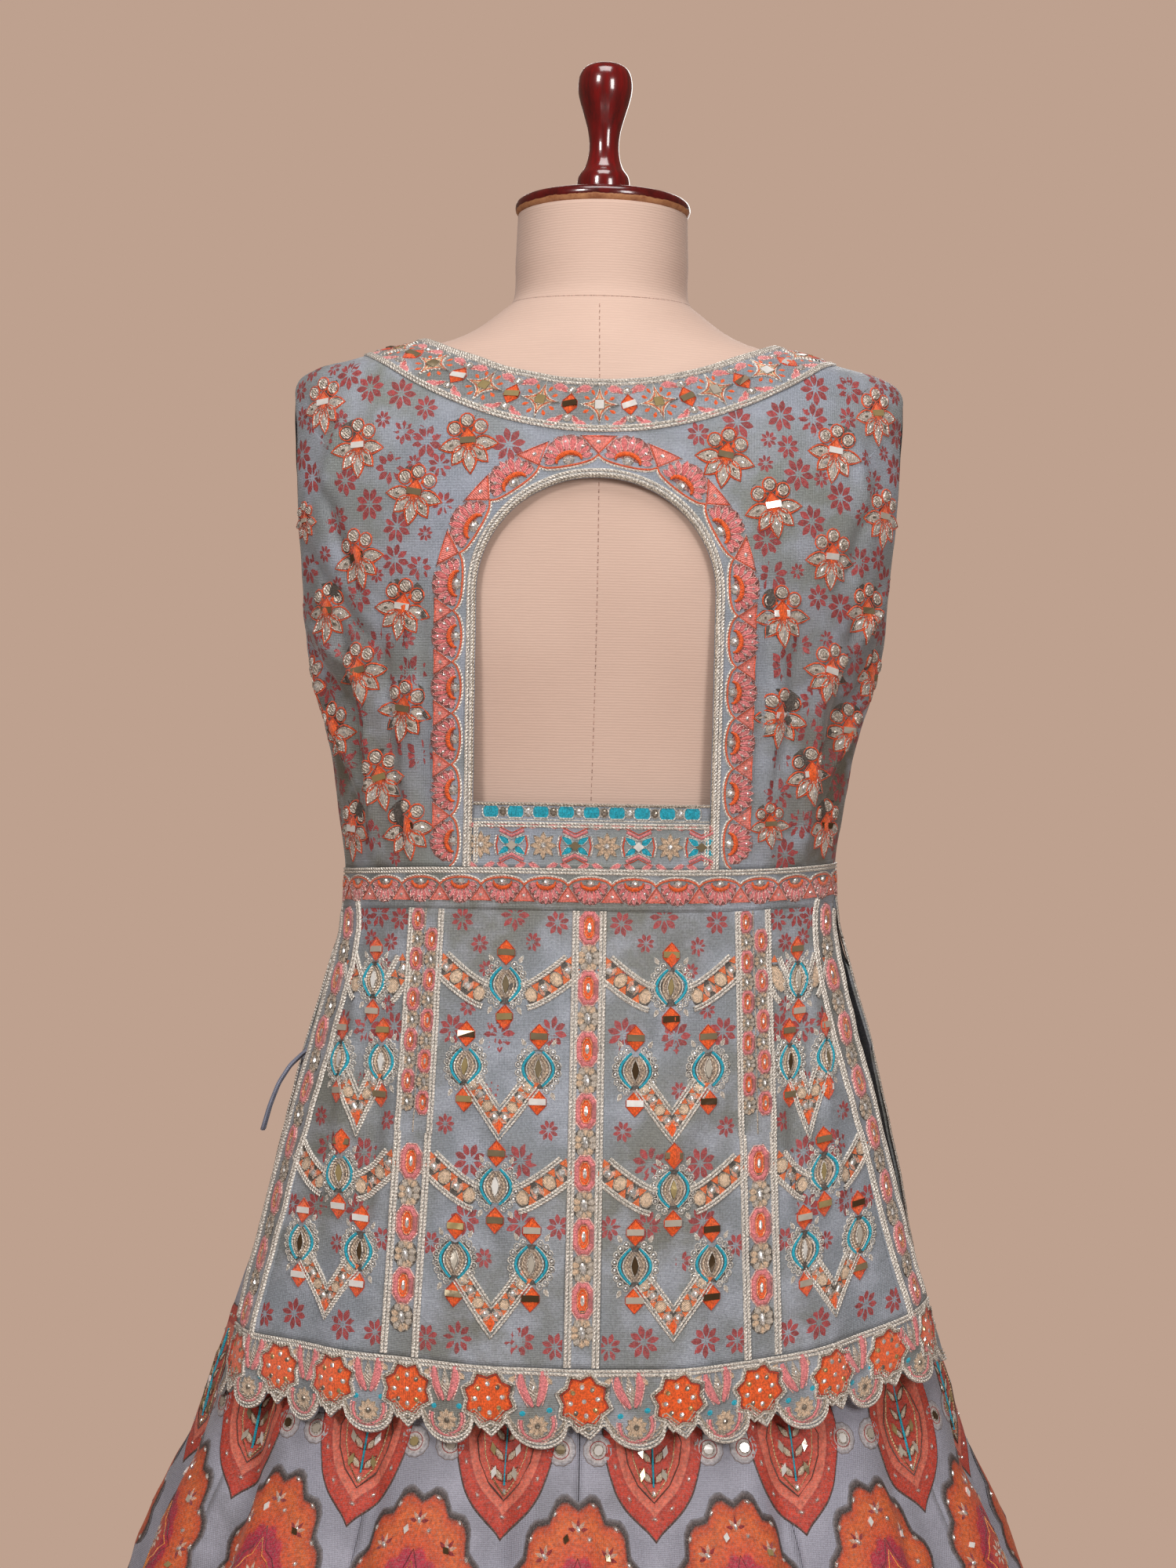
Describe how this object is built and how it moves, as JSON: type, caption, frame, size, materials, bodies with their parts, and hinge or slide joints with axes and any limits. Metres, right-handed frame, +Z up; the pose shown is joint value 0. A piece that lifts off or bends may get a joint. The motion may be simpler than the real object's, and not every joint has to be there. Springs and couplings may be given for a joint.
{
  "type": "peplum lehenga on a dress form",
  "caption": "Sleeveless peplum top with an arched open back over a flared floor-length lehenga skirt, standing on a limbless dress form with a pole and round base",
  "frame": {"origin": "on the floor, at the centre of the underside of the form's round base", "axes": "+Z up; the garment's back faces -Y and its front +Y; +X is on the right in a view of the back"},
  "size_m": [0.9101, 0.8415, 1.5725],
  "materials": {
    "printed_silk": "blue-grey printed silk with a soft sheen",
    "embroidered_trim": "thread and bead embroidery in pink, orange and silver",
    "turquoise_trim": "satin stitch in turquoise and pink",
    "silver_cord": "laid silver thread",
    "lehenga_silk": "printed and embroidered silk, orange and brick red on grey",
    "plain_lining": "plain satin",
    "jersey": "skin-coloured ribbed jersey",
    "varnished_wood": "dark red-brown gloss varnish",
    "pole_steel": "brushed"
  },
  "bodies": {
    "root": {"arch_cord": "silver_cord", "hem_border_back": "silver_cord", "hem_border_front": "silver_cord", "back_yoke_band": "turquoise_trim", "bodice_back": "printed_silk", "bodice_front": "printed_silk", "peplum_back_centre_left": "printed_silk", "peplum_back_centre_right": "printed_silk", "peplum_back_side_left": "printed_silk", "peplum_back_side_right": "printed_silk", "peplum_front_centre_left": "printed_silk", "peplum_front_centre_right": "printed_silk", "peplum_front_side_left": "printed_silk", "peplum_front_side_right": "printed_silk", "form_base": "varnished_wood", "form_finial": "varnished_wood", "form_neck_cap": "varnished_wood", "form_pole": "pole_steel", "form_torso": "jersey", "neck_band_back": "embroidered_trim", "neck_band_front": "embroidered_trim", "waist_band_back": "embroidered_trim", "waist_band_front": "embroidered_trim", "strip_back_centre": "embroidered_trim", "strip_front_centre": "embroidered_trim", "strip_back_princess_left": "embroidered_trim", "strip_back_princess_right": "embroidered_trim", "strip_back_side_left": "embroidered_trim", "strip_back_side_right": "embroidered_trim", "strip_front_princess_left": "embroidered_trim", "strip_front_princess_right": "embroidered_trim", "strip_front_side_left": "embroidered_trim", "strip_front_side_right": "embroidered_trim", "skirt_back_1": "lehenga_silk", "skirt_back_2": "lehenga_silk", "skirt_back_3": "lehenga_silk", "skirt_back_4": "lehenga_silk", "skirt_back_5": "lehenga_silk", "skirt_back_6": "lehenga_silk", "skirt_front_1": "lehenga_silk", "skirt_front_2": "lehenga_silk", "skirt_front_3": "lehenga_silk", "skirt_front_4": "lehenga_silk", "skirt_front_5": "lehenga_silk", "skirt_front_6": "lehenga_silk", "skirt_tie": "plain_lining", "skirt_waistband": "plain_lining"}
  },
  "joints": []
}
